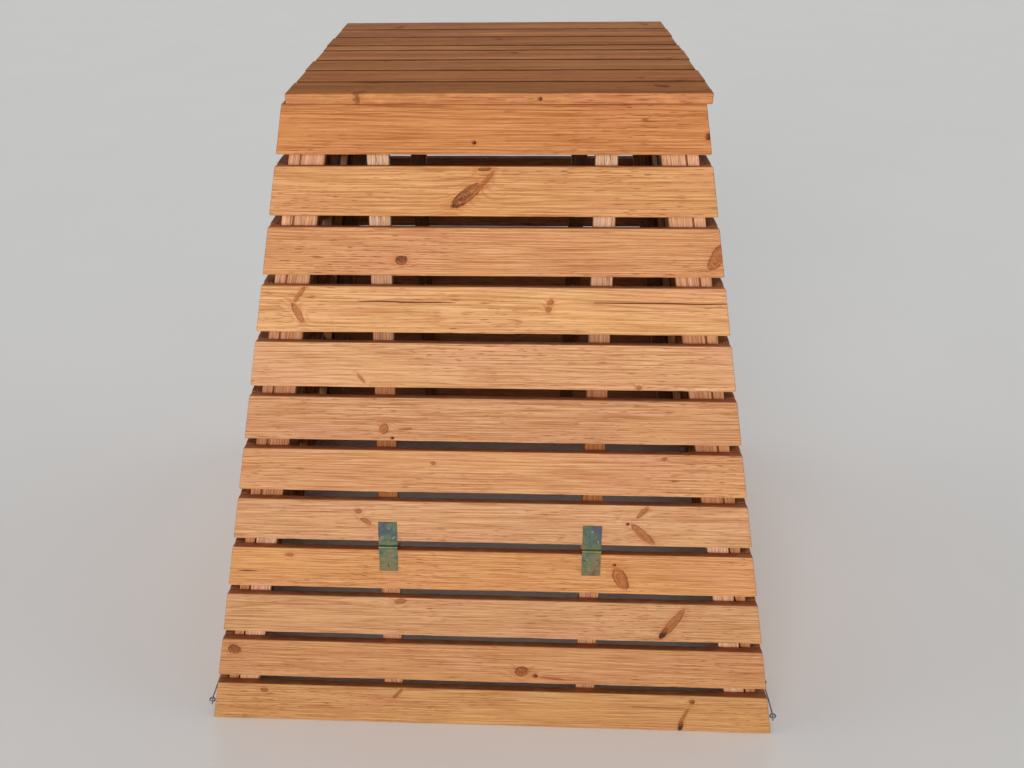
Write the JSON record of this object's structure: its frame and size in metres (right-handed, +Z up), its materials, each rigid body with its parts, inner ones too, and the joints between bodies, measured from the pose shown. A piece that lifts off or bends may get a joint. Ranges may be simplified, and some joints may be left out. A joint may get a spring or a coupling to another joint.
{
  "type": "slatted timber compost bin",
  "caption": "Tapered square bin of horizontal timber slats on battens, with a loose boarded lid and a hinged flap door at the foot of one wall, held by hooks and eyes.",
  "frame": {"origin": "on the ground at the centre of the square base", "axes": "+Z up, -Y towards the front wall with the flap door, +X to the right seen from the front"},
  "size_m": [1.224, 1.204, 1.296],
  "materials": {
    "slat_pine": "planed and stained, satin",
    "lid_pine": "planed and stained, satin",
    "batten_pine": "planed, thinly stained",
    "hinge_zinc": "yellow-passivated zinc",
    "galvanised_wire": "zinc plated",
    "wood_screws": "zinc plated"
  },
  "bodies": {
    "walls": {"corner_screws": "wood_screws", "front_corner_batten_left": "batten_pine", "front_corner_batten_right": "batten_pine", "front_middle_batten_left": "batten_pine", "front_middle_batten_right": "batten_pine", "front_slat_1": "slat_pine", "front_slat_2": "slat_pine", "front_slat_3": "slat_pine", "front_slat_4": "slat_pine", "front_slat_5": "slat_pine", "front_slat_6": "slat_pine", "front_slat_7": "slat_pine", "front_slat_8": "slat_pine", "hinge_pin_left": "hinge_zinc", "hinge_pin_right": "hinge_zinc", "hinge_upper_leaf_left": "hinge_zinc", "hinge_upper_leaf_right": "hinge_zinc", "hinge_upper_screws": "wood_screws", "hook_eye_left": "galvanised_wire", "hook_eye_right": "galvanised_wire", "left_corner_battens": "batten_pine", "left_middle_battens": "batten_pine", "left_wall_slats": "slat_pine", "panel_screws": "wood_screws", "rear_corner_battens": "batten_pine", "rear_middle_battens": "batten_pine", "rear_wall_slats": "slat_pine", "right_corner_battens": "batten_pine", "right_middle_battens": "batten_pine", "right_wall_slats": "slat_pine"},
    "door": {"catch_eye_left": "galvanised_wire", "catch_eye_right": "galvanised_wire", "door_end_batten_left": "batten_pine", "door_end_batten_right": "batten_pine", "door_middle_batten_left": "batten_pine", "door_middle_batten_right": "batten_pine", "door_screws": "wood_screws", "door_slat_1": "slat_pine", "door_slat_2": "slat_pine", "door_slat_3": "slat_pine", "door_slat_4": "slat_pine", "hinge_lower_leaf_left": "hinge_zinc", "hinge_lower_leaf_right": "hinge_zinc", "hinge_lower_screws": "wood_screws"},
    "lid": {"lid_board_1": "lid_pine", "lid_board_2": "lid_pine", "lid_board_3": "lid_pine", "lid_board_4": "lid_pine", "lid_board_5": "lid_pine", "lid_board_6": "lid_pine", "lid_board_7": "lid_pine", "lid_board_8": "lid_pine", "lid_cleat_left": "batten_pine", "lid_cleat_right": "batten_pine", "lid_screws": "wood_screws"},
    "hook_left": {"hook_left": "galvanised_wire"},
    "hook_right": {"hook_right": "galvanised_wire"}
  },
  "joints": [
    {"name": "door_hinge", "type": "hinge", "parent": "walls", "child": "door", "pos_m": [0, -0.52982, 0.4218], "axis": [-1, 0, 0], "range_deg": [0, 175]},
    {"name": "lid_lift", "type": "slide", "parent": "walls", "child": "lid", "axis": [0, 0, 1], "range_m": [0, 0.35]},
    {"name": "hook_swing_left", "type": "hinge", "parent": "walls", "child": "hook_left", "pos_m": [-0.60435, -0.49795, 0.04047], "axis": [-0.9841, 0, 0.1774], "range_deg": [0, 150]},
    {"name": "hook_swing_right", "type": "hinge", "parent": "walls", "child": "hook_right", "pos_m": [0.60435, -0.49795, 0.04047], "axis": [-0.9841, 0, -0.1774], "range_deg": [0, 150]}
  ]
}
